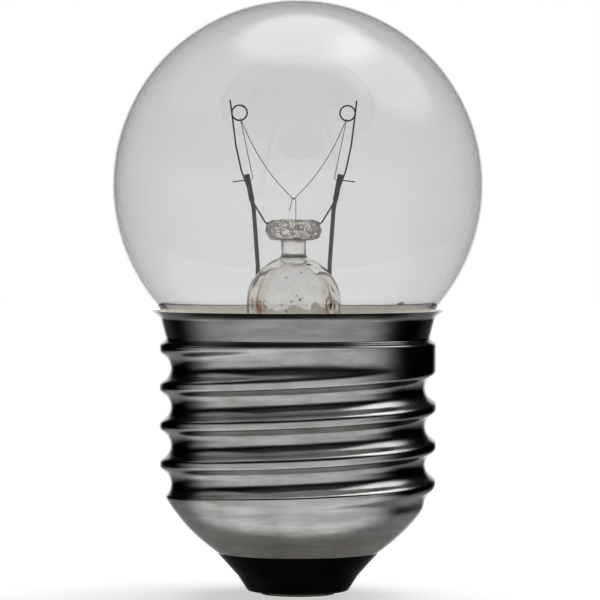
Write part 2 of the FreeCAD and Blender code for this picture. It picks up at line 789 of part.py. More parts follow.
def shell_radius(angle, height):
    """Outside of the rolled cap: lip, collar, ring groove, thread and cone."""
    thread = rolled_thread(angle, height)
    groove = val("groove_radius")
    collar_foot = val("groove_height")
    taper = min(max((height - collar_foot) / (val("lip_foot") - collar_foot), 0), 1)
    flare = max(height - val("lip_foot"), 0) / val("lip_depth")
    collar = groove + (val("collar_radius") - groove) * taper + val("lip_reach") * flare ** val("lip_curl")
    above = ease((height - val("step_height")) / (collar_foot - val("step_height")))
    wall = thread + (collar - thread) * above
    cone = cone_radius(height)
    blend = math.hypot(wall - cone, val("cone_shoulder"))
    return (wall + cone - blend) / 2


def shell_halves(inset_at):
    """The front and back halves of the cap's wall, moved inwards by what inset_at gives for each height."""
    columns = 36
    rows_per_turn = 16
    degree = 3
    low = val("cone_edge_height")
    high = val("cap_height")
    rows = round((high - low) / val("thread_pitch") * rows_per_turn)
    full_ring = degree / (degree - 1 + math.cos(2 * math.pi / columns))
    poles = []
    for column in range(columns):
        angle = 2 * math.pi * column / columns
        line = []
        for row in range(rows + 1):
            height = low + (high - low) * row / rows
            radius = (shell_radius(angle, height) - inset_at(height)) * full_ring
            line.append(point(radius * math.cos(angle), radius * math.sin(angle), height))
        poles.append(line)
    spans = rows + 1 - degree
    around = list(range(columns + 1))
    upward = list(range(spans + 1))
    single = [1] * len(around)
    clamped = [degree + 1] + [1] * (spans - 1) + [degree + 1]
    surface = Part.BSplineSurface()
    surface.buildFromPolesMultsKnots(poles, single, clamped, around, upward, True, False, degree, degree)
    faces = []
    for start in (0, columns / 2):
        half = surface.copy()
        half.segment(start, start + columns / 2, 0, spans)
        faces.append(half.toShape())
    return faces


def edge_at_height(face, height):
    return min(face.Edges, key=lambda edge: max(abs(corner.Z - height) for corner in edge.Vertexes))


def make_screw_shell():
    sheet = val("shell_sheet")
    cone_sheet = val("cone_sheet")
    cone_width = val("thread_root") - val("cone_edge_radius")
    cone_top = val("cone_edge_height") + cone_width / val("cone_slope")

    def inset_at(height):
        return cone_sheet + (sheet - cone_sheet) * ease(height - cone_top)

    faces = []
    for halves in zip(shell_halves(lambda height: 0), shell_halves(inset_at)):
        faces += halves
        for height in (val("cone_edge_height"), val("cap_height")):
            rings = [edge_at_height(half, height) for half in halves]
            faces.append(Part.makeRuledSurface(*rings))
    shell = Part.makeShell(faces)
    shell.sewShape()
    solid = Part.makeSolid(shell)
    if solid.Volume < 0:
        solid.reverse()
    middle = val("thread_crest_height")
    if solid.isInside(point(0, 0, middle), val("wire_gap"), True):
        raise RuntimeError("the cap is filled")
    if not solid.isInside(point(sheet / 2 - val("thread_radius"), 0, middle), val("wire_gap"), True):
        raise RuntimeError("the cap has no wall")
    feature = doc.addObject("Part::Feature", "screw_shell")
    feature.Label = "screw_shell"
    feature.Shape = solid
    feature.Placement = FreeCAD.Placement()
    return feature


def make_insulator():
    return turned("insulator", [
        ("insulator_bore", "foot_height"),
        ("foot_radius", "foot_height"),
        ("foot_waist", "foot_waist_height"),
        ("insulator_edge", "insulator_step"),
        ("insulator_seat", "insulator_step"),
        ("insulator_brim", "insulator_top"),
        ("insulator_bore", "insulator_well"),
    ])


def make_contact_eyelet():
    return turned("contact_eyelet", [
        ("eyelet_inside", "eyelet_under"),
        ("eyelet_radius", "eyelet_under"),
        ("eyelet_radius", "foot_height"),
        ("eyelet_tube", "foot_height"),
        ("eyelet_tube", "eyelet_end"),
        ("eyelet_inside", "eyelet_end"),
    ])


def make_contact_solder():
    return turned("contact_solder", [
        (None, None),
        ("solder_flat_radius", None),
        ("solder_radius", "eyelet_under"),
        ("solder_plug", "eyelet_under"),
        ("solder_plug", "solder_top"),
        ("copper_hole", "solder_top"),
        ("copper_hole", "lead_in_solder"),
        (None, "lead_in_solder"),
    ])


def make_basing_cement():
    """A ring in the gap between neck and cap, slotted for the side lead."""
    body = turned("basing_cement", [
        ("cement_inside", "cement_bottom"),
        ("cement_outside", "cement_bottom"),
        ("cement_outside", "cement_collar"),
        ("cement_lip_radius", "lip_foot"),
        ("cement_flare_radius", "cement_flare_height"),
        ("cement_top_radius", "cement_top"),
        ("cement_cone", "cement_top"),
        ("cement_inside", "neck_top"),
    ])
    slot = new_sketch(body, "cement_slot_outline", "XZ_Plane")
    add_outline(slot, [
        ("neck_bore", "neck_end"),
        ("lip_radius", "neck_end"),
        ("lip_radius", "cap_height"),
        ("neck_bore", "cap_height"),
    ])
    cut = drill(body, slot, False, "cement_slot")
    cut.Midplane = True
    angle = FreeCAD.Rotation(point(0, 0, 1), val("side_lead_angle"))
    body.Placement = FreeCAD.Placement(point(0, 0, 0), angle)
    return body


def make_side_solder(side_lead):
    """A bead on the rim of the cap, round the end of the side lead."""
    ball = doc.addObject("Part::Sphere", "side_bead")
    ball.setExpression("Radius", ref("side_solder_radius"))
    ball.Angle1 = 0
    ball.Angle2 = 90
    ball.Placement = FreeCAD.Placement(at_side_lead(val("side_joint"), val("cap_height")), FreeCAD.Rotation())
    bead = doc.addObject("Part::Cut", "side_solder")
    bead.Label = "side_solder"
    bead.Base = ball
    bead.Tool = side_lead
    return bead


parts = [
    make_glass_bulb(),
    make_stem_flare(),
    make_arbor_button(),
    make_exhaust_tube(),
]
for side_name, side_sign in SIDES:
    parts.append(make_inner_lead(side_name, side_sign))
    parts.append(make_seal_wire(side_name, side_sign))
    parts.append(make_support_wire(side_name, side_sign))
side_lead = make_outer_lead_right()
parts += [
    make_outer_lead_left(),
    side_lead,
    make_centre_hook(),
    make_filament(),
    make_screw_shell(),
    make_insulator(),
    make_contact_eyelet(),
    make_contact_solder(),
    make_basing_cement(),
    make_side_solder(side_lead),
]
doc.recompute()

for thing in doc.Objects:
    if "Invalid" in thing.State or "Error" in thing.State:
        raise RuntimeError(thing.Label + " failed: " + str(thing.State))
for part in parts:
    if part.Shape.isNull() or not part.Shape.isValid():
        raise RuntimeError(part.Label + " has no valid shape")

os.makedirs("parts", exist_ok=True)
for part in parts:
    part.Shape.exportStep("parts/%s.step" % part.Label)
    print(part.Label, round(part.Shape.Volume, 3), len(part.Shape.Solids))
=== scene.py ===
import math

import bpy
import numpy as np
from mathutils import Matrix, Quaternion, Vector, noise


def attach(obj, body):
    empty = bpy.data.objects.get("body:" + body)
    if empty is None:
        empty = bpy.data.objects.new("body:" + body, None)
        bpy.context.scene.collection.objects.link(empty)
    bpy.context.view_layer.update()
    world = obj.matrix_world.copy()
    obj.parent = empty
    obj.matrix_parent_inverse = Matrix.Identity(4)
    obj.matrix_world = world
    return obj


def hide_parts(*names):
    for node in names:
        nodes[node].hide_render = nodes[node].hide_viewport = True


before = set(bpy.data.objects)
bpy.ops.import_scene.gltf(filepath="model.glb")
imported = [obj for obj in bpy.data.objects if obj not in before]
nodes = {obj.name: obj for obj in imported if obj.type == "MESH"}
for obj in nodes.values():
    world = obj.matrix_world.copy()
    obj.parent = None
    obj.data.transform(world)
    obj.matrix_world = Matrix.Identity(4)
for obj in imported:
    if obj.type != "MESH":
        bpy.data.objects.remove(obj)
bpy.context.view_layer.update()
MM = 0.001

# Sizes in millimetres, as in the part

STEM_X = -0.4
GLOBE_R = 17.5
GLOBE_Z = 38.849
WALL = 0.5
NECK_R = 11.0
NECK_END = 17.6
TURN_Z = 27.4
DOME_R = 4.45
DOME_BORE = 3.7
DOME_Z = 27.75
STEM_WALL = 0.75
FLARE_R = 4.4
ARBOR_R = 1.15
ARBOR_FILLET = 0.25
ARBOR_FOOT_Z = 32.2
BUTTON_R = 2.575
BUTTON_LOW = 33.65
BUTTON_TOP = 35.6
BUTTON_ROUND = 0.85

# Mesh helpers


def add_mesh(name, points, faces, sharp=None):
    mesh = bpy.data.meshes.new(name)
    mesh.from_pydata([tuple(p) for p in points], [], faces)
    mesh.validate()
    mesh.shade_smooth()
    if sharp:
        mesh.set_sharp_from_angle(angle=math.radians(sharp))
    piece = bpy.data.objects.new(name, mesh)
    bpy.context.scene.collection.objects.link(piece)
    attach(piece, "root")
    return piece


def dress(piece, material):
    piece.data.materials.clear()
    piece.data.materials.append(material)


def arc(centre, radius, start, end, count):
    """Points of an arc in the (radius, height) plane, angles in degrees from the horizontal."""
    angles = np.radians(np.linspace(start, end, count))
    return [(centre[0] + radius * math.cos(a), centre[1] + radius * math.sin(a)) for a in angles]


def divided(profile, step):
    """The same profile with extra points on its long straight runs."""
    out = [profile[0]]
    for before, after in zip(profile, profile[1:]):
        count = max(1, int(math.dist(before, after) / step))
        for k in range(1, count + 1):
            t = k / count
            out.append((before[0] + (after[0] - before[0]) * t, before[1] + (after[1] - before[1]) * t))
    return out


def lathe(name, profile, columns, offset_x=0.0, shift=None, closed=False, sharp=None):
    """A profile turned about the axis. shift(x, y, z) may move each point a little, in millimetres."""
    points = []
    rings = []
    for radius, height in profile:
        if radius < 1e-6:
            rings.append([len(points)])
            points.append((offset_x * MM, 0.0, height * MM))
            continue
        ring = []
        for k in range(columns):
            a = 2 * math.pi * k / columns
            x, y, z = radius * math.cos(a), radius * math.sin(a), height
            if shift:
                x, y, z = shift(x, y, z)
            ring.append(len(points))
            points.append(((x + offset_x) * MM, y * MM, z * MM))
        rings.append(ring)
    faces = []
    pairs = list(zip(rings, rings[1:]))
    if closed:
        pairs.append((rings[-1], rings[0]))
    for upper, lower in pairs:
        for k in range(columns):
            n = (k + 1) % columns
            if len(upper) == 1:
                faces.append((upper[0], lower[k], lower[n]))
            elif len(lower) == 1:
                faces.append((upper[k], lower[0], upper[n]))
            else:
                faces.append((upper[k], lower[k], lower[n], upper[n]))
    return add_mesh(name, points, faces, sharp)


def bubble(points, faces, centre, radius):
    """Adds a small ball to a mesh under way. Its faces look inwards, as a bubble's do."""
    rows, columns = 6, 10
    base = len(points)
    for i in range(rows + 1):
        t = math.pi * i / rows
        for k in range(columns):
            a = 2 * math.pi * k / columns
            points.append((centre[0] + radius * math.sin(t) * math.cos(a),
                           centre[1] + radius * math.sin(t) * math.sin(a),
                           centre[2] + radius * math.cos(t)))
    for i in range(rows):
        upper, lower = base + i * columns, base + (i + 1) * columns
        for k in range(columns):
            n = (k + 1) % columns
            faces.append((upper + n, lower + n, lower + k, upper + k))


def wobble(scale, amount, seed):
    """Small smooth offsets to and from the axis, the same in every run."""
    place = Vector((seed, seed * 2.3, seed * 5.1))

    def move(x, y, z):
        push = amount * noise.noise(Vector((x, y, z)) * scale + place)
        length = math.hypot(x, y) or 1.0
        return x + x / length * push, y + y / length * push, z
    return move


# Material helpers


def new_material(name):
    material = bpy.data.materials.new(name)
    material.use_nodes = True
    tree = material.node_tree
    return material, tree, tree.nodes["Principled BSDF"]


def object_coords(tree, scale=(1, 1, 1)):
    coords = tree.nodes.new("ShaderNodeTexCoord")
    mapping = tree.nodes.new("ShaderNodeMapping")
    mapping.inputs["Scale"].default_value = scale
    tree.links.new(coords.outputs["Object"], mapping.inputs["Vector"])
    return mapping.outputs["Vector"]


def object_axis(tree, axis):
    coords = tree.nodes.new("ShaderNodeTexCoord")
    split = tree.nodes.new("ShaderNodeSeparateXYZ")
    tree.links.new(coords.outputs["Object"], split.inputs["Vector"])
    return split.outputs[axis]


def noise_value(tree, vector, scale, detail=3.0, rough=0.55):
    node = tree.nodes.new("ShaderNodeTexNoise")
    node.inputs["Scale"].default_value = scale
    node.inputs["Detail"].default_value = detail
    node.inputs["Roughness"].default_value = rough
    tree.links.new(vector, node.inputs["Vector"])
    return node.outputs["Fac"]


def ramp(tree, value, stops):
    """A colour from a value, by stops of place and colour. A single number stands for a grey."""
    node = tree.nodes.new("ShaderNodeValToRGB")
    points = node.color_ramp.elements
    while len(points) < len(stops):
        points.new(0.5)
    for point, (place, colour) in zip(points, stops):
        point.position = place
        point.color = (*colour, 1.0) if isinstance(colour, tuple) else (colour, colour, colour, 1.0)
    tree.links.new(value, node.inputs["Fac"])
    return node.outputs["Color"]


def spread(tree, value, low, high, start=0.0, end=1.0):
    node = tree.nodes.new("ShaderNodeMapRange")
    node.inputs["From Min"].default_value = start
    node.inputs["From Max"].default_value = end
    node.inputs["To Min"].default_value = low
    node.inputs["To Max"].default_value = high
    tree.links.new(value, node.inputs["Value"])
    return node.outputs["Result"]


def bump(tree, shader, value, distance, strength=1.0, under=None):
    node = tree.nodes.new("ShaderNodeBump")
    node.inputs["Strength"].default_value = strength
    node.inputs["Distance"].default_value = distance
    tree.links.new(value, node.inputs["Height"])
    if under is not None:
        tree.links.new(under, node.inputs["Normal"])
    tree.links.new(node.outputs["Normal"], shader.inputs["Normal"])
    return node.outputs["Normal"]


def by_height(tree, stops):
    """A colour that changes with the height in millimetres above the contact."""
    top = 60.0
    share = spread(tree, object_axis(tree, "Z"), 0.0, 1.0, 0.0, top * MM)
    return ramp(tree, share, [(height / top, colour) for height, colour in stops])


def colour_mix(tree, first, second, share=None):
    """Two colours multiplied, or the second over the first by a share. No first colour means white."""
    node = tree.nodes.new("ShaderNodeMix")
    node.data_type = "RGBA"
    factor, under, over = (node.inputs[k] for k in (0, 6, 7))
    if share is None:
        node.blend_type = "MULTIPLY"
        factor.default_value = 1.0
    else:
        tree.links.new(share, factor)
    if first is None:
        under.default_value = (1, 1, 1, 1)
    else:
        tree.links.new(first, under)
    tree.links.new(second, over)
    return node.outputs[2]


def base_colour(material):
    """The shader of a material, and what colours it so far."""
    shader = material.node_tree.nodes["Principled BSDF"]
    return shader, shader.inputs["Base Color"].links[0].from_socket


# Materials


def glass_material(name, light, dark, wave_scale, wave_height, soaks_up=0.0):
    material, tree, shader = new_material(name)
    vector = object_coords(tree)
    shader.inputs["Transmission Weight"].default_value = 1.0
    shader.inputs["IOR"].default_value = 1.5
    film = noise_value(tree, vector, 90.0, detail=4.0)
    tree.links.new(ramp(tree, film, [(0.35, dark), (0.7, light)]), shader.inputs["Base Color"])
    tree.links.new(spread(tree, film, 0.0, 0.012, 0.4, 0.8), shader.inputs["Roughness"])
    bump(tree, shader, noise_value(tree, vector, wave_scale, detail=1.0), wave_height)
    if soaks_up:
        volume = tree.nodes.new("ShaderNodeVolumeAbsorption")
        volume.inputs["Color"].default_value = (0, 0, 0, 1)
        volume.inputs["Density"].default_value = soaks_up
        tree.links.new(volume.outputs["Volume"], tree.nodes["Material Output"].inputs["Volume"])
    return material


def tint_stem(material):
    """Stem glass: brown at the seal wires, painted shade at its edges, and in the button an amber tint that
    is a painted reflection and dark streaks that are painted shade.
    """
    tree = material.node_tree
    shader, clear = base_colour(material)
    # Warmer, darker glass in the arbor and button: painted reflection
    painted_amber_reflection = by_height(tree, [(31.9, 1.0), (32.6, (0.96, 0.95, 0.92)), (33.6, (0.9, 0.87, 0.8)),
                             (35.0, (0.9, 0.87, 0.8)), (35.5, (0.98, 0.97, 0.94))])
    reach = 6.0
    across = spread(tree, object_axis(tree, "X"), -1.0, 1.0, (STEM_X - reach) * MM, (STEM_X + reach) * MM)
    from_axis = tree.nodes.new("ShaderNodeMath")
    from_axis.operation = "ABSOLUTE"
    tree.links.new(across, from_axis.inputs[0])
    seals = ramp(tree, from_axis.outputs["Value"],
                 [(0.42, 1.0), (0.56, (0.9, 0.83, 0.74)), (0.72, (0.95, 0.92, 0.87))])
    # Darker where the surface turns away towards the outline: painted shade at the edges
    facing = tree.nodes.new("ShaderNodeLayerWeight").outputs["Facing"]
    dome_edge_painted_shade = ramp(tree, facing, [(0.4, 1.0), (0.68, (0.82, 0.75, 0.65)), (0.84, (0.4, 0.33, 0.25)),
                                    (1.0, (0.05, 0.04, 0.03))])
    arbor_edge_painted_shade = ramp(tree, facing, [(0.22, 1.0), (0.42, (0.6, 0.57, 0.52)), (0.56, (0.1, 0.09, 0.075)),
                                     (0.75, (0.01, 0.009, 0.008))])
    in_arbor = by_height(tree, [(32.0, 0.0), (32.4, 1.0)])
    painted_edge_shade = colour_mix(tree, dome_edge_painted_shade, arbor_edge_painted_shade, in_arbor)
    # Thin dark streaks in the button: painted shade
    painted_streak_colour = (0.06, 0.05, 0.04)
    streak_noise = noise_value(tree, object_coords(tree), 1100.0, detail=2.0)
    painted_streaks = ramp(tree, streak_noise, [(0.45, 1.0), (0.485, painted_streak_colour), (0.505, painted_streak_colour), (0.54, 1.0)])
    in_button = by_height(tree, [(33.7, 0.0), (33.9, 1.0), (35.3, 1.0), (35.6, 0.0)])
    tint = colour_mix(tree, colour_mix(tree, clear, painted_amber_reflection), colour_mix(tree, seals, painted_edge_shade))
    tint = colour_mix(tree, tint, colour_mix(tree, None, painted_streaks, in_button))
    tree.links.new(tint, shader.inputs["Base Color"])


def wire_material(name, light, dark, rough):
    material, tree, shader = new_material(name)
    vector = object_coords(tree)
    stain = noise_value(tree, vector, 900.0, detail=4.0)
    tree.links.new(ramp(tree, stain, [(0.35, dark), (0.65, light)]), shader.inputs["Base Color"])
    shader.inputs["Metallic"].default_value = 1.0
    tree.links.new(spread(tree, stain, rough * 0.8, rough * 1.3, 0.3, 0.7), shader.inputs["Roughness"])
    bump(tree, shader, noise_value(tree, vector, 6000.0, detail=2.0), 0.00001, 0.5)
    return material


def blacken_clamps(material):
    """Lead wires are darkest at their clamps, next to the hot filament."""
    tree = material.node_tree
    shader, dull = base_colour(material)
    heat_tint_and_painted_shade = by_height(tree, [(36.4, 1.0), (37.4, 0.12)])
    tree.links.new(colour_mix(tree, dull, heat_tint_and_painted_shade), shader.inputs["Base Color"])
    shader.inputs["Specular Tint"].default_value = (0.4, 0.39, 0.38, 1)


def cap_material():
    """Nickel plate with rolling marks, with painted shade that browns the lower cone, darkens the collar and
    darkens the lip most.
    """
    material, tree, shader = new_material("bright_nickel_plate")
    vector = object_coords(tree)
    stain = noise_value(tree, vector, 260.0, detail=5.0)
    rolled = noise_value(tree, object_coords(tree, (0.03, 0.03, 1.0)), 9000.0, detail=2.0)
    streaks = noise_value(tree, object_coords(tree, (0.12, 0.12, 1.0)), 1500.0)
    shader.inputs["Metallic"].default_value = 1.0
    plate = ramp(tree, stain, [(0.3, (0.39, 0.38, 0.365)), (0.5, (0.46, 0.455, 0.445)),
                               (0.72, (0.51, 0.505, 0.5))])
    worn = ramp(tree, streaks, [(0.3, 0.72), (0.6, 1.0)])
    # Brown and darker low on the cone, darker on the collar, darkest at the lip: painted shade
    heat_tint_and_painted_shade = by_height(tree, [(4.5, (0.8, 0.76, 0.7)), (6.2, (0.88, 0.85, 0.8)), (7.2, 1.0), (23.6, 1.0),
                              (24.4, 0.7), (26.4, 0.7), (26.75, 0.3)])
    tree.links.new(colour_mix(tree, colour_mix(tree, plate, worn), heat_tint_and_painted_shade), shader.inputs["Base Color"])
    tree.links.new(spread(tree, stain, 0.22, 0.14, 0.3, 0.7), shader.inputs["Roughness"])
    fine = bump(tree, shader, rolled, 0.000004, 0.6)
    bump(tree, shader, noise_value(tree, vector, 420.0, detail=2.0), 0.00003, 0.5, fine)
    return material


def black_glass_material():
    material, tree, shader = new_material("black_moulded_glass")
    vector = object_coords(tree)
    flow = noise_value(tree, vector, 400.0, detail=4.0)
    tree.links.new(ramp(tree, flow, [(0.3, (0.0006, 0.0004, 0.001)), (0.7, (0.0015, 0.001, 0.002))]),
                   shader.inputs["Base Color"])
    tree.links.new(spread(tree, flow, 0.12, 0.3, 0.3, 0.7), shader.inputs["Roughness"])
    shader.inputs["Specular IOR Level"].default_value = 0.015
    bump(tree, shader, noise_value(tree, vector, 1500.0), 0.00003, 0.5)
    return material


def cement_material():
    material, tree, shader = new_material("beige_basing_cement")
    vector = object_coords(tree)
    grain = noise_value(tree, vector, 700.0, detail=6.0, rough=0.7)
    tree.links.new(ramp(tree, grain, [(0.25, (0.74, 0.68, 0.56)), (0.6, (0.88, 0.84, 0.74)),
                                      (0.8, (0.92, 0.89, 0.81))]), shader.inputs["Base Color"])
    shader.inputs["Roughness"].default_value = 0.85
    bump(tree, shader, noise_value(tree, vector, 2600.0, detail=5.0, rough=0.7), 0.0001, 0.8)
    return material


def solder_material():
    material, tree, shader = new_material("dull_solder")
    grain = noise_value(tree, object_coords(tree), 1200.0, detail=5.0)
    tree.links.new(ramp(tree, grain, [(0.3, (0.36, 0.36, 0.37)), (0.7, (0.6, 0.6, 0.61))]),
                   shader.inputs["Base Color"])
    shader.inputs["Metallic"].default_value = 1.0
    tree.links.new(spread(tree, grain, 0.28, 0.5, 0.3, 0.7), shader.inputs["Roughness"])
    bump(tree, shader, grain, 0.00005, 0.7)
    return material


globe_glass = glass_material("clear_globe_glass", 0.907, 0.892, 70.0, 0.00002, soaks_up=210.0)
stem_glass = glass_material("clear_stem_glass", (0.93, 0.928, 0.92), (0.9, 0.895, 0.88), 500.0, 0.00004)
tint_stem(stem_glass)
lead_metal = wire_material("heat_dulled_nickel", (0.075, 0.07, 0.066), (0.025, 0.023, 0.022), 0.45)
blacken_clamps(lead_metal)
seal_metal = wire_material("copper_clad_wire", (0.42, 0.17, 0.1), (0.28, 0.1, 0.06), 0.4)
copper_metal = wire_material("bare_copper", (0.8, 0.45, 0.3), (0.55, 0.27, 0.16), 0.32)
support_metal = wire_material("dark_support_wire", (0.04, 0.04, 0.042), (0.015, 0.015, 0.017), 0.4)
hook_metal = wire_material("grey_hook_wire", 0.5, 0.38, 0.35)
filament_metal = wire_material("grey_filament_wire", (0.26, 0.26, 0.27), (0.16, 0.16, 0.17), 0.4)
# Contact coloured nearly black: painted shade where it stands on the floor
contact_metal_painted_shade = wire_material("contact_sheet_painted_shade", (0.12, 0.1, 0.07), (0.07, 0.055, 0.035), 0.4)
nickel_plate = cap_material()
black_glass = black_glass_material()
cement = cement_material()
solder = solder_material()

# Globe

turn_drop = GLOBE_Z - TURN_Z
turn_r = math.sqrt(GLOBE_R ** 2 - turn_drop ** 2)
turn_angle = -math.degrees(math.asin(turn_drop / GLOBE_R))
slope = turn_drop / turn_r
bore = GLOBE_R - WALL
bore_turn = (turn_r * bore / GLOBE_R, GLOBE_Z - turn_drop * bore / GLOBE_R)
neck_bore = NECK_R - WALL
neck_top = TURN_Z - (turn_r - NECK_R) / slope
outer = arc((0, GLOBE_Z), GLOBE_R, 90, turn_angle, 110)
outer += [(NECK_R, neck_top), (NECK_R, NECK_END)]
inner = [(neck_bore, NECK_END), (neck_bore, bore_turn[1] - (bore_turn[0] - neck_bore) / slope)]
inner += arc((0, GLOBE_Z), bore, turn_angle, 90, 110)
outer[0] = (0, GLOBE_Z + GLOBE_R)
inner[-1] = (0, GLOBE_Z + bore)
globe = lathe("globe", divided(outer, 0.5) + divided(inner, 0.5), columns=192, sharp=50)
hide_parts("glass_bulb")
dress(globe, globe_glass)
globe.visible_shadow = False

# Stem with its arbor and button, one fused piece of glass

button_face = BUTTON_R - BUTTON_ROUND
arbor_spread, arbor_spread_rise, arbor_sink = 0.06, 0.15, 2
under_neck = 0.01
seat_angle = math.degrees(math.acos(ARBOR_R / DOME_R)) - arbor_sink
flare_middle = (DOME_R + FLARE_R, NECK_END + FLARE_R)
stem_outer = [(0, BUTTON_TOP)]
stem_outer += arc((button_face, BUTTON_TOP - BUTTON_ROUND), BUTTON_ROUND, 90, 0, 14)
stem_outer += arc((button_face, BUTTON_LOW + BUTTON_ROUND), BUTTON_ROUND, 0, -90, 14)
stem_outer += arc((ARBOR_R + ARBOR_FILLET, BUTTON_LOW - ARBOR_FILLET), ARBOR_FILLET, 90, 180, 6)
stem_outer += [(ARBOR_R, ARBOR_FOOT_Z + arbor_spread_rise), (ARBOR_R + arbor_spread, ARBOR_FOOT_Z)]
stem_outer += arc((0, DOME_Z), DOME_R, seat_angle, 0, 50)
stem_outer += [(DOME_R, NECK_END + FLARE_R)]
stem_outer += arc(flare_middle, FLARE_R, 180, 270, 24)
stem_outer += [(NECK_R, NECK_END - under_neck), (NECK_R, NECK_END - STEM_WALL)]
stem_inner = arc(flare_middle, FLARE_R + STEM_WALL, 270, 180, 24)
stem_inner += arc((0, DOME_Z), DOME_BORE, 0, 90, 50)
stem_inner[-1] = (0, DOME_Z + DOME_BORE)
soft_wave = wobble(scale=0.9, amount=0.07, seed=3.0)
lumps = wobble(scale=2.6, amount=0.2, seed=8.0)


def stem_shift(x, y, z):
    """Soft waves in the stem, and lumps in the button."""
    lumpy_from, lift, lift_scale = 33.5, 0.07, 1.7
    if z <= lumpy_from:
        return soft_wave(x, y, z)
    x, y, z = lumps(x, y, z)
    return x, y, z + lift * noise.noise(Vector((x * lift_scale, y * lift_scale, z)))


stem = lathe("stem", divided(stem_outer, 0.25) + divided(stem_inner, 0.25), columns=160, offset_x=STEM_X,
             shift=stem_shift, sharp=60)

# Bubbles in the glass of the dome, most of them at its front, and in the button

dome_bubbles, front_bubbles, button_bubbles = 50, 30, 40
wall_middle = 4.07
button_reach = 2.1
rng = np.random.default_rng(11)
places = []
for k in range(dome_bubbles):
    at_front = k < front_bubbles
    angle = math.radians(rng.uniform(180, 300) if at_front else rng.uniform(0, 360))
    height = rng.uniform(26.6, 29.4) if at_front else rng.uniform(26.5, 31.0)
    off_axis = math.sqrt(max(wall_middle ** 2 - max(height - DOME_Z, 0) ** 2, 0.1))
    places.append((angle, off_axis, height, rng.uniform(0.03, 0.13)))
for k in range(button_bubbles):
    angle = rng.uniform(0, 2 * math.pi)
    off_axis = button_reach * math.sqrt(rng.uniform(0, 1))
    size = rng.uniform(0.04, 0.14)
    places.append((angle, off_axis, rng.uniform(33.95, 35.2), size))
bubble_points = []
bubble_faces = []
for angle, off_axis, height, size in places:
    centre = ((STEM_X + off_axis * math.cos(angle)) * MM, off_axis * math.sin(angle) * MM, height * MM)
    bubble(bubble_points, bubble_faces, centre, size * MM)
bubbles = add_mesh("stem_bubbles", bubble_points, bubble_faces)
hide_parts("stem_flare", "arbor_button")
for piece in (stem, bubbles):
    dress(piece, stem_glass)
    piece.visible_shadow = False

# Screw cap

CAP = dict(low=4.18, high=27.0, sheet=0.25, lip=13.825, lip_depth=0.75, lip_curl=1.3, collar=12.98,
           groove=12.5, groove_z=24.4, step_z=23.75, crest=13.1, depth=1.06, pitch=3.629, crest_z=16.1,
           bead_reach=0.68, bead_share=0.62, thread_top=23.2, runout=1.5,
           cone=7.75, cone_slope=1.34, cone_bow=0.08, cone_rise=4.3, shoulder=0.35,
           dent=0.02, dent_scale=0.35, dent_fade=2)


def ease(t):
    t = np.clip(t, 0, 1)
    return t * t * (3 - 2 * t)


def rolled_thread(angle, z):
    """Round beads on a broad swell, with a groove that runs out at its upper end."""
    c = CAP
    around = (angle - math.pi) / (2 * math.pi)
    turns = (z - c["crest_z"]) / c["pitch"] - around
    swell = np.cos(math.pi * turns) ** 2
    bead = 1 / (1 + ((turns - np.round(turns)) * c["pitch"] / c["bead_reach"]) ** 4)
    ridge = swell + (bead - swell) * c["bead_share"]
    groove_middle = c["crest_z"] + (np.floor(turns) + 0.5 + around) * c["pitch"]
    runout = ease((groove_middle - c["thread_top"]) / c["runout"] + 1)
    return c["crest"] - c["depth"] * (1 - ridge) * (1 - runout)


def cap_radius(angle, z):
    """The rolled cap's outside: lip, collar, ring groove, thread and bowed cone."""
    c = CAP
    thread = rolled_thread(angle, z)
    lip_foot = c["high"] - c["lip_depth"]
    taper = np.clip((z - c["groove_z"]) / (lip_foot - c["groove_z"]), 0, 1)
    flare = np.maximum(z - lip_foot, 0) / c["lip_depth"]
    collar = c["groove"] + (c["collar"] - c["groove"]) * taper
    collar = collar + (c["lip"] - c["collar"]) * flare ** c["lip_curl"]
    above = ease((z - c["step_z"]) / (c["groove_z"] - c["step_z"]))
    wall = thread + (collar - thread) * above
    rise = z - c["low"]
    bowed = np.minimum(rise, c["cone_rise"])
    end_slope = c["cone_slope"] - 2 * c["cone_bow"] * bowed
    cone = c["cone"] + bowed * c["cone_slope"] - bowed ** 2 * c["cone_bow"] + (rise - bowed) * end_slope
    return (wall + cone - np.hypot(wall - cone, c["shoulder"])) / 2


def cap_mesh():
    columns, rows, inner_rows = 224, 300, 60
    dent_place = Vector((5, 1, 7))
    points = []
    faces = []

    def grid(count, inset, inward):
        base = len(points)
        for z in np.linspace(CAP["low"], CAP["high"], count + 1):
            for k in range(columns):
                a = 2 * math.pi * k / columns
                r = float(cap_radius(a, z)) - inset
                here = Vector((r * math.cos(a), r * math.sin(a), z))
                dent = noise.noise(here * CAP["dent_scale"] + dent_place)
                r += CAP["dent"] * dent * min(1, (CAP["high"] - z) / CAP["dent_fade"])
                points.append((r * math.cos(a) * MM, r * math.sin(a) * MM, z * MM))
        for i in range(count):
            for k in range(columns):
                n = (k + 1) % columns
                quad = (base + i * columns + k, base + i * columns + n,
                        base + (i + 1) * columns + n, base + (i + 1) * columns + k)
                faces.append(quad[::-1] if inward else quad)
        return base, base + count * columns

    out_low, out_high = grid(rows, 0.0, False)
    in_low, in_high = grid(inner_rows, CAP["sheet"], True)
    for k in range(columns):
        n = (k + 1) % columns
        faces.append((out_high + k, out_high + n, in_high + n, in_high + k))
        faces.append((out_low + n, out_low + k, in_low + k, in_low + n))
    return add_mesh("screw_cap", points, faces, sharp=60)


cap = cap_mesh()
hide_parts("screw_shell")
dress(cap, nickel_plate)

# Foot of the cap

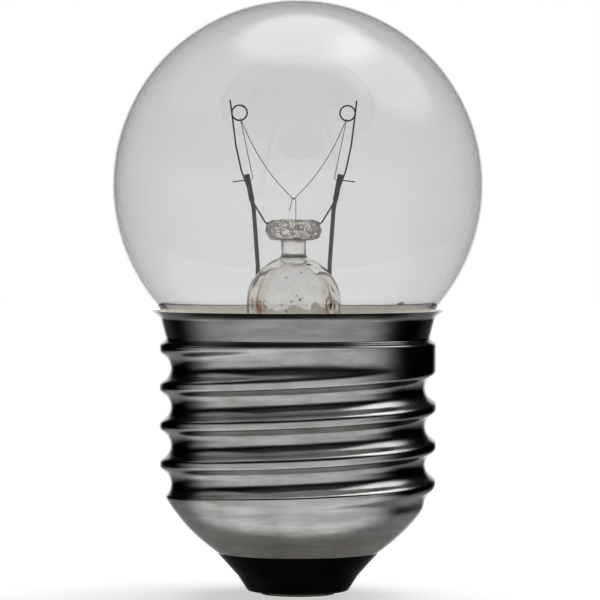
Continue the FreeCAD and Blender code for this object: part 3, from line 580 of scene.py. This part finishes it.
foot_profile = [(1.4, 5.6), (9.85, 6.53), (9.88, 6.47), (7.22, 4.15), (7.66, 4.12), (5.7, 1.95), (5.6, 1.8),
                (4.87, 0.65), (4.76, 0.54), (4.6, 0.5), (1.4, 0.5)]
foot = lathe("black_foot", divided(foot_profile, 0.3), columns=128, closed=True, sharp=40)
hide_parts("insulator")
dress(foot, black_glass)

# Cement, pressed against the glass

cement_bite, cement_drop = 0.02, 0.01
cement_bore = NECK_R - cement_bite
cement_profile = [(cement_bore, 18.4), (11.72, 18.4), (11.72, 24.4), (12.6, 26.25), (12.94, 26.62),
                  (13.17, 26.81), (13.13, 26.9), (13.02, 26.97), (12.86, 27.0),
                  (cement_bore, neck_top - cement_drop)]
cement_ring = lathe("cement_ring", divided(cement_profile, 0.3), columns=160, closed=True, sharp=50)
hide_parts("basing_cement")
dress(cement_ring, cement)

# Filament: a fine coil along the route of the plain wire, with a straight leg in each end


def rounded(points, bends, step):
    """Points along straight runs with an arc at each inner corner."""
    out = []
    here = points[0]

    def run(start, end):
        count = max(1, int((end - start).length / step))
        out.extend(start.lerp(end, k / count) for k in range(count))

    for before, corner, after, bend in zip(points, points[1:], points[2:], bends):
        back = (before - corner).normalized()
        ahead = (after - corner).normalized()
        half = (math.pi - back.angle(ahead)) / 2
        start = corner + back * bend * math.tan(half)
        end = corner + ahead * bend * math.tan(half)
        centre = corner + (back + ahead).normalized() * bend / math.cos(half)
        run(here, start)
        count = max(2, int(2 * half * bend / step))
        first = start - centre
        pole = first.cross(end - centre).normalized()
        out.extend(centre + Quaternion(pole, 2 * half * k / count) @ first for k in range(count))
        here = end
    run(here, points[-1])
    out.append(points[-1])
    return out


def filament_route():
    """From the left end, through clamp, loop and hook, to the right end, as in the part but for the droop."""
    gap, support_d, filament_d = 0.02, 0.16, 0.11
    clamp_half, fold = 0.09, 0.25
    seat = (support_d + filament_d) / 2 + gap
    off = seat + gap
    hook_seat = 0.13
    under_hook = 37.65 - hook_seat
    loop_r, loop_pitch, loop_turn = 0.72, 0.22, 0.75
    thigh, start = Vector((5.455, 0.5, 42.6)), Vector((5.825, 0.5, 45.6))
    rise = (start - thigh).normalized()
    inward = -Vector((0, 1, 0)).cross(rise)
    centre = start + inward * loop_r
    angle = 2 * math.pi * loop_turn
    behind = loop_pitch * (loop_turn - math.sin(angle) / (2 * math.pi))
    rest = centre + (start - centre) * math.cos(angle) + rise * loop_r * math.sin(angle)
    rest = rest + Vector((0, behind, 0))
    waist, top = Vector((3.78, 0, 36.6)), Vector((4.43, 0, 39.9))
    up = (top - waist).normalized()
    apart = filament_d / 2 + gap + clamp_half
    hold = top - up * (apart + clamp_half) - up * fold
    middle = (rest.y + off) / 2
    climb = rest.z + seat - under_hook
    sag, sag_bend, near, far = 0.92, 14.0, 0.37, 0.75
    clamp_in, clamp_out, droop = 0.5, 1.45, 0.22
    corners = [
        ((0, off, under_hook), hook_seat),
        ((rest.x * near, middle, under_hook - sag + climb * near), sag_bend),
        ((rest.x * far, middle, under_hook - sag + climb * far), sag_bend),
        ((rest.x, rest.y + off, rest.z + seat), seat),
        ((rest.x, rest.y - off, rest.z + seat), seat),
        ((hold.x - clamp_in, 0, hold.z), clamp_in / 3),
        ((hold.x + clamp_out, 0, hold.z - droop), None),
    ]
    right = [(Vector((STEM_X + x, y, z)), bend) for (x, y, z), bend in corners]
    left = [(Vector((STEM_X - x, -y, z)), bend) for (x, y, z), bend in corners]
    both = left[::-1] + right
    return rounded([p for p, b in both], [b for p, b in both[1:-1]], step=0.01)


def unit(rows):
    return rows / np.linalg.norm(rows, axis=1)[:, None]


def coil(name, route, coil_radius, wire_radius, pitch, per_turn, sides):
    """A round wire wound along a route."""
    path = np.array([tuple(p) for p in route])
    keep = np.concatenate([[True], np.linalg.norm(np.diff(path, axis=0), axis=1) > 1e-6])
    path = path[keep]
    along = np.concatenate([[0], np.cumsum(np.linalg.norm(np.diff(path, axis=0), axis=1))])
    count = int(along[-1] / pitch * per_turn)
    stops = np.linspace(0, along[-1], count + 1)
    centre = np.stack([np.interp(stops, along, path[:, i]) for i in range(3)], axis=1)
    tangent = unit(np.gradient(centre, axis=0))
    side = np.zeros_like(centre)
    guide = np.array([0.0, 1.0, 0.0])
    for i in range(len(centre)):
        guide = guide - tangent[i] * guide.dot(tangent[i])
        guide /= np.linalg.norm(guide)
        side[i] = guide
    other = np.cross(tangent, side)
    turn = 2 * math.pi * stops / pitch
    wire = centre + coil_radius * (side * np.cos(turn)[:, None] + other * np.sin(turn)[:, None])
    way = unit(np.gradient(wire, axis=0))
    out = wire - centre
    out = unit(out - way * np.sum(out * way, axis=1)[:, None])
    across = np.cross(way, out)
    points = []
    faces = []
    for i in range(len(wire)):
        for k in range(sides):
            a = 2 * math.pi * k / sides
            points.append((wire[i] + wire_radius * (out[i] * math.cos(a) + across[i] * math.sin(a))) * MM)
    for i in range(len(wire) - 1):
        for k in range(sides):
            n = (k + 1) % sides
            faces.append((i * sides + k, i * sides + n, (i + 1) * sides + n, (i + 1) * sides + k))
    faces.append(tuple(range(sides))[::-1])
    faces.append(tuple((len(wire) - 1) * sides + k for k in range(sides)))
    return add_mesh(name, points, faces)


def rod(name, start, end, radius, sides):
    """A straight round wire with closed ends."""
    way = (end - start).normalized()
    side = Vector((0, 1, 0))
    other = way.cross(side)
    points = []
    for stop in (start, end):
        for k in range(sides):
            a = 2 * math.pi * k / sides
            points.append((stop + (side * math.cos(a) + other * math.sin(a)) * radius) * MM)
    faces = [(k, sides + k, sides + (k + 1) % sides, (k + 1) % sides) for k in range(sides)]
    faces += [tuple(range(sides)), tuple(range(sides, 2 * sides))[::-1]]
    return add_mesh(name, points, faces, sharp=40)


leg_length = 1.2
route = filament_route()
for name, tail, before in (
        ("filament_leg_left", route[0], route[1]),
        ("filament_leg_right", route[-1], route[-2])):
    leg = rod(name, tail + (before - tail).normalized() * leg_length, tail, radius=0.06, sides=12)
    dress(leg, support_metal)
filament = coil("filament_coil", route, coil_radius=0.036, wire_radius=0.019, pitch=0.062, per_turn=10,
                sides=5)
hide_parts("filament")
dress(filament, filament_metal)

# Finishes of the pieces that are shown as built

for name, material in (
        ("exhaust_tube", stem_glass), ("inner_lead_left", lead_metal), ("inner_lead_right", lead_metal),
        ("seal_wire_left", seal_metal), ("seal_wire_right", seal_metal),
        ("support_wire_left", support_metal), ("support_wire_right", support_metal),
        ("centre_hook", hook_metal), ("outer_lead_left", copper_metal), ("outer_lead_right", copper_metal),
        ("contact_eyelet", contact_metal_painted_shade), ("contact_solder", solder), ("side_solder", solder)):
    dress(nodes[name], material)
    nodes[name].data.shade_smooth()
    nodes[name].data.set_sharp_from_angle(angle=math.radians(40))

# Stage: pale floor, white surroundings, soft light


def seen_through(tree):
    """1 for what the camera sees, also through glass, and 0 for other light."""
    path = tree.nodes.new("ShaderNodeLightPath")
    either = tree.nodes.new("ShaderNodeMath")
    either.operation = "MAXIMUM"
    tree.links.new(path.outputs["Is Camera Ray"], either.inputs[0])
    tree.links.new(path.outputs["Is Transmission Ray"], either.inputs[1])
    return either.outputs["Value"]


def floor_material():
    material, tree, shader = new_material("pale_floor")
    shader.inputs["Base Color"].default_value = (0.62, 0.62, 0.62, 1)
    shader.inputs["Roughness"].default_value = 0.8
    shader.inputs["Specular IOR Level"].default_value = 0.0
    tree.links.new(seen_through(tree), shader.inputs["Emission Strength"])
    shader.inputs["Emission Color"].default_value = (0.56, 0.56, 0.56, 1)
    material.cycles.emission_sampling = "NONE"
    return material


def lay_floor(half, height):
    mesh = bpy.data.meshes.new("floor")
    corners = [(-half, -half, height), (half, -half, height), (half, half, height), (-half, half, height)]
    mesh.from_pydata(corners, [], [(0, 1, 2, 3)])
    mesh.materials.append(floor_material())
    floor = bpy.data.objects.new("floor", mesh)
    bpy.context.scene.collection.objects.link(floor)
    floor.visible_glossy = False


lay_floor(half=1.5, height=-0.00005)

# Middles of the front light and of the dark ground, and soft panels: direction, half angle of the bright
# part, half angle of its end, brightness

FRONT = (-0.208, -0.978, 0.0)
DARK_GROUND = (0.0, 0.56, -0.83)
PANELS = (
    ((0.05, 0.24, 0.97), 19, 31, 2.1),
    ((0.05, 0.05, 1.0), 8, 38, 0.6),
    ((0.6, 0.12, 0.78), 14, 30, 1.7),
    ((-0.6, 0.15, 0.78), 10, 28, 0.4),
    ((0.0, -0.35, 0.94), 15, 55, 0.06),
    (DARK_GROUND, 36, 58, 0.28),
    ((0.0, 1.0, 0.0), 14, 22, 1.0),
)


def make_world():
    """White where it is seen; for the light on the object, soft panels with dark gaps between them."""
    world = bpy.data.worlds.new("studio")
    bpy.context.scene.world = world
    world.use_nodes = True
    tree = world.node_tree
    ground = tree.nodes["Background"]
    coords = tree.nodes.new("ShaderNodeTexCoord")
    split = tree.nodes.new("ShaderNodeSeparateXYZ")
    tree.links.new(coords.outputs["Generated"], split.inputs["Vector"])

    def fade(value, full, none, level=1.0):
        node = tree.nodes.new("ShaderNodeMapRange")
        node.interpolation_type = "SMOOTHSTEP"
        node.inputs["From Min"].default_value = none
        node.inputs["From Max"].default_value = full
        node.inputs["To Min"].default_value = 0.0
        node.inputs["To Max"].default_value = level
        tree.links.new(value, node.inputs["Value"])
        return node.outputs["Result"]

    def join(kind, first, second):
        node = tree.nodes.new("ShaderNodeMath")
        node.operation = kind
        tree.links.new(first, node.inputs[0])
        tree.links.new(second, node.inputs[1])
        return node.outputs["Value"]

    def towards(direction):
        node = tree.nodes.new("ShaderNodeVectorMath")
        node.operation = "DOT_PRODUCT"
        node.inputs[1].default_value = Vector(direction).normalized()
        tree.links.new(coords.outputs["Generated"], node.inputs[0])
        return node.outputs["Value"]

    def panel(direction, full, none, level):
        return fade(towards(direction), math.cos(math.radians(full)), math.cos(math.radians(none)), level)

    level_z = split.outputs["Z"]
    wall = join("MULTIPLY", fade(towards(FRONT), 0.6, -0.35, 0.82), fade(level_z, 0.0, 0.28))
    wall = join("MULTIPLY", wall, fade(level_z, -0.35, -0.6))
    ground_front = join("MULTIPLY", panel(DARK_GROUND, 37, 31, 0.9), fade(level_z, -0.6, -0.35))
    ground_front = join("MULTIPLY", ground_front, fade(towards(FRONT), 0.0, -0.6))
    light = join("ADD", wall, ground_front)
    for patch in PANELS:
        light = join("ADD", light, panel(*patch))
    mix = tree.nodes.new("ShaderNodeMix")
    mix.data_type = "FLOAT"
    tree.links.new(seen_through(tree), mix.inputs[0])
    tree.links.new(light, mix.inputs[2])
    mix.inputs[3].default_value = 1.0
    ground.inputs["Color"].default_value = (1, 1, 1, 1)
    tree.links.new(mix.outputs[0], ground.inputs["Strength"])


make_world()

# Camera, in front of the object and a little above its middle

eye = Vector((0.0002, -0.315, 0.0338))
aim = Vector((0.0002, 0, 0.028))
view_width = 0.0568
lens = bpy.data.cameras.new("camera")
lens.sensor_width = 36
lens.lens = lens.sensor_width * (aim - eye).length / view_width
lens.clip_start = 0.01
camera = bpy.data.objects.new("camera", lens)
camera.location = eye
camera.rotation_euler = (aim - eye).to_track_quat("-Z", "Y").to_euler()
bpy.context.scene.collection.objects.link(camera)
bpy.context.scene.camera = camera
bpy.context.scene.view_settings.view_transform = "Standard"
